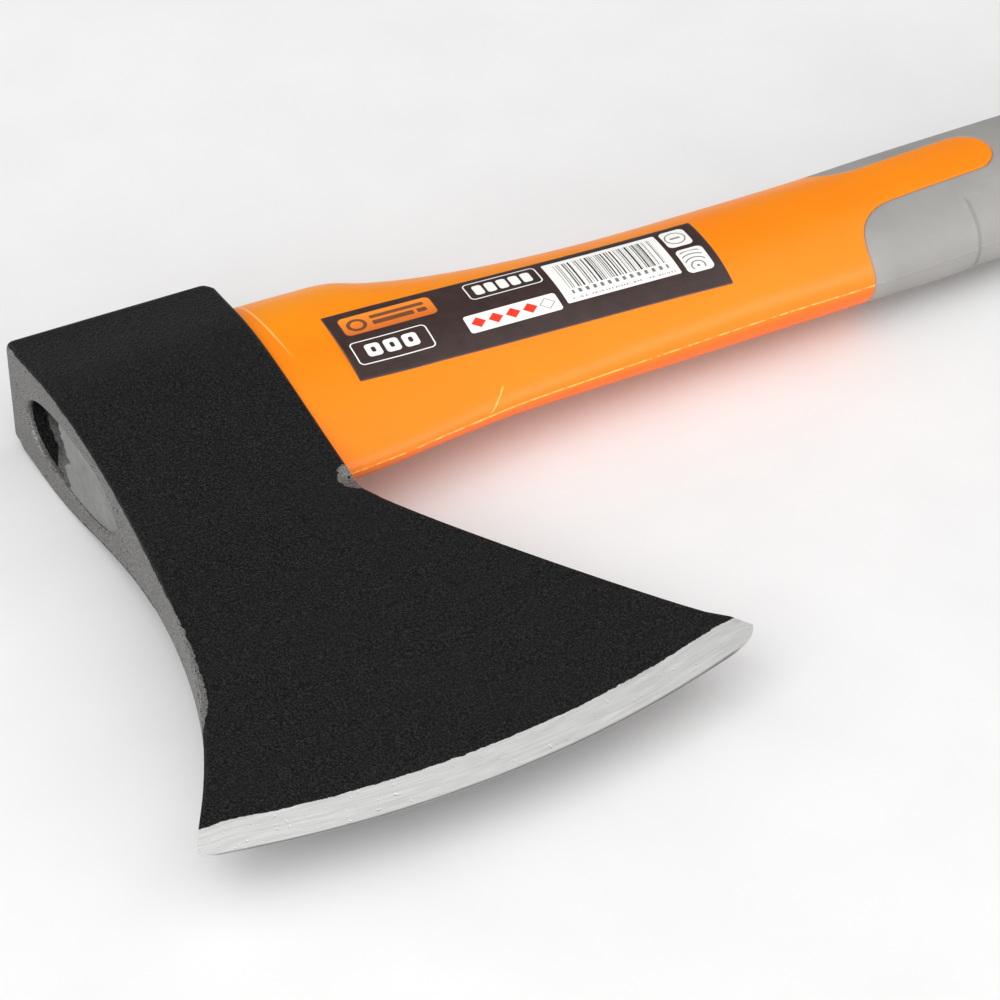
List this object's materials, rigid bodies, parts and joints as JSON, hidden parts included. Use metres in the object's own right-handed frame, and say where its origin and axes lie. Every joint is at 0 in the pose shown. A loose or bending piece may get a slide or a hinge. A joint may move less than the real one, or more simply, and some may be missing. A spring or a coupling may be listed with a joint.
{
  "type": "hand axe",
  "caption": "Small hand axe lying on its side: forged steel head with a flared curved edge, fixed on a plastic handle with a rubber grip and a hang hole.",
  "frame": {"origin": "middle of the bounding box seen from above, on the plane that the head's cheek lies on", "axes": "+X along the handle from the head to the butt, -Y towards the cutting edge, +Z across the thickness"},
  "size_m": [0.3599, 0.1455, 0.0258],
  "materials": {
    "head_steel": "black powder coat with a fine leathery grain, ground bare at the edge and at the eye end",
    "epoxy_resin": "grey cast resin, smooth",
    "fibreglass": "pale pultruded fibreglass",
    "jacket_plastic": "satin gloss moulded polypropylene, orange",
    "grip_rubber": "matte moulded thermoplastic rubber, light grey",
    "label_film": "printed adhesive film, semi-gloss dark brown"
  },
  "bodies": {
    "root": {"axe_head": "head_steel", "eye_resin": "epoxy_resin", "fibreglass_core": "fibreglass", "handle_jacket": "jacket_plastic", "rubber_grip": "grip_rubber", "side_label": "label_film"}
  },
  "joints": []
}
